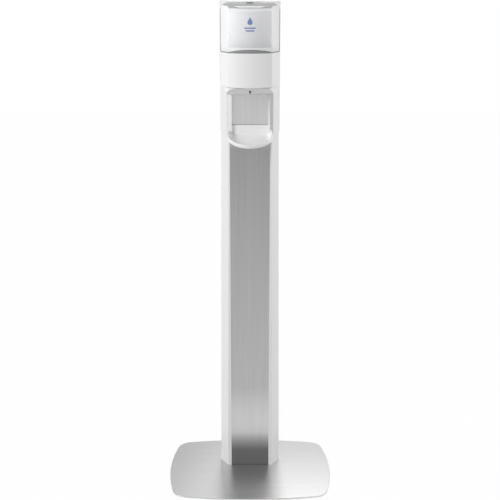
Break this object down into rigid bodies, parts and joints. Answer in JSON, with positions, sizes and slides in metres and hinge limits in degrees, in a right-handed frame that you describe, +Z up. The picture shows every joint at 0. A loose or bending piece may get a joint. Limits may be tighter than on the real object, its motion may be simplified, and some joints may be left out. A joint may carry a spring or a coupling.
{
  "type": "hand sanitizer floor stand",
  "caption": "Free-standing touch-free hand sanitizer dispenser: flat base plate, flared six-sided post with a brushed front panel, drip shield and a hinged dispenser with a clear window.",
  "frame": {"origin": "middle of the footprint, on the floor under the base plate", "axes": "+Z up, -Y is the front with the dispenser's nozzle and drip bowl, +X to the right when facing the front"},
  "size_m": [0.42, 0.318, 1.211],
  "materials": {
    "white_steel": "white powder coat, satin",
    "foot_rubber": "matt black rubber",
    "zinc_screws": "zinc plated",
    "plain_steel": "plain steel",
    "brushed_panel": "vertically brushed, satin",
    "brushed_base": "brushed from side to side, satin",
    "white_plastic": "white moulded plastic, semi-gloss",
    "clear_window": "clear moulded plastic",
    "grey_plastic": "dark grey moulded plastic",
    "clear_bottle": "clear thin blown plastic",
    "clear_gel": "clear gel",
    "gear_plastic": "natural acetal",
    "motor_steel": "drawn steel can",
    "cell_jacket": "plain printed jacket",
    "board_green": "solder mask",
    "sensor_dark": "dark infrared window"
  },
  "bodies": {
    "stand": {"base_plate": "brushed_base", "base_feet": "foot_rubber", "base_screws": "zinc_screws", "post_shell": "white_steel", "foot_flange": "plain_steel", "front_panel": "brushed_panel", "head_shell": "white_steel", "upper_panel": "brushed_panel", "backing_plate": "plain_steel", "head_cap": "white_plastic", "joint_screws": "zinc_screws", "dispenser_screws": "zinc_screws", "shield_tray": "white_plastic", "chassis": "white_plastic", "hinge_pins": "plain_steel", "nozzle_fairing": "white_plastic", "refill_bottle": "clear_bottle", "sanitizer_gel": "clear_gel", "pump_collar": "white_plastic", "pump_barrel": "white_plastic", "drive_motor": "motor_steel", "gear_axle": "plain_steel", "gear_plate": "grey_plastic", "battery_cells": "cell_jacket", "battery_tray": "grey_plastic", "control_board": "board_green", "sensor_board": "board_green", "sensor_lens": "sensor_dark", "latch_spring": "plain_steel"},
    "cover": {"cover_lower": "white_plastic", "cover_window": "clear_window", "window_frame": "grey_plastic"},
    "latch": {"latch_button": "grey_plastic"},
    "drive_wheel": {"drive_gear": "gear_plastic"},
    "motor_rotor": {"motor_shaft": "plain_steel", "motor_pinion": "gear_plastic"},
    "actuator": {"pump_actuator": "gear_plastic", "pump_nozzle": "white_plastic"}
  },
  "joints": [
    {"name": "cover_hinge", "type": "hinge", "parent": "stand", "child": "cover", "pos_m": [0, -0.018, 1.027], "axis": [1, 0, 0], "range_deg": [0, 90]},
    {"name": "latch_press", "type": "slide", "parent": "stand", "child": "latch", "axis": [0, 0, -1], "range_m": [0, 0.003], "stiffness_N_per_m": 400, "springref_m": -0.001, "deforming": ["latch_spring"]},
    {"name": "wheel_turn", "type": "hinge", "parent": "stand", "child": "drive_wheel", "pos_m": [-0.0192, 0.003, 1.037], "axis": [0, -1, 0], "range_deg": [0, 95.5]},
    {"name": "motor_turn", "type": "hinge", "parent": "stand", "child": "motor_rotor", "pos_m": [-0.04, 0.003, 1.037], "axis": [0, -1, 0], "range_deg": [-318.35, 0]},
    {"name": "actuator_lift", "type": "slide", "parent": "stand", "child": "actuator", "axis": [0, 0, 1], "range_m": [0, 0.008]}
  ],
  "couplings": [
    {"joint": "wheel_turn", "follows": "actuator_lift", "rad_per_m": 208.33},
    {"joint": "motor_turn", "follows": "actuator_lift", "rad_per_m": -694.44}
  ]
}
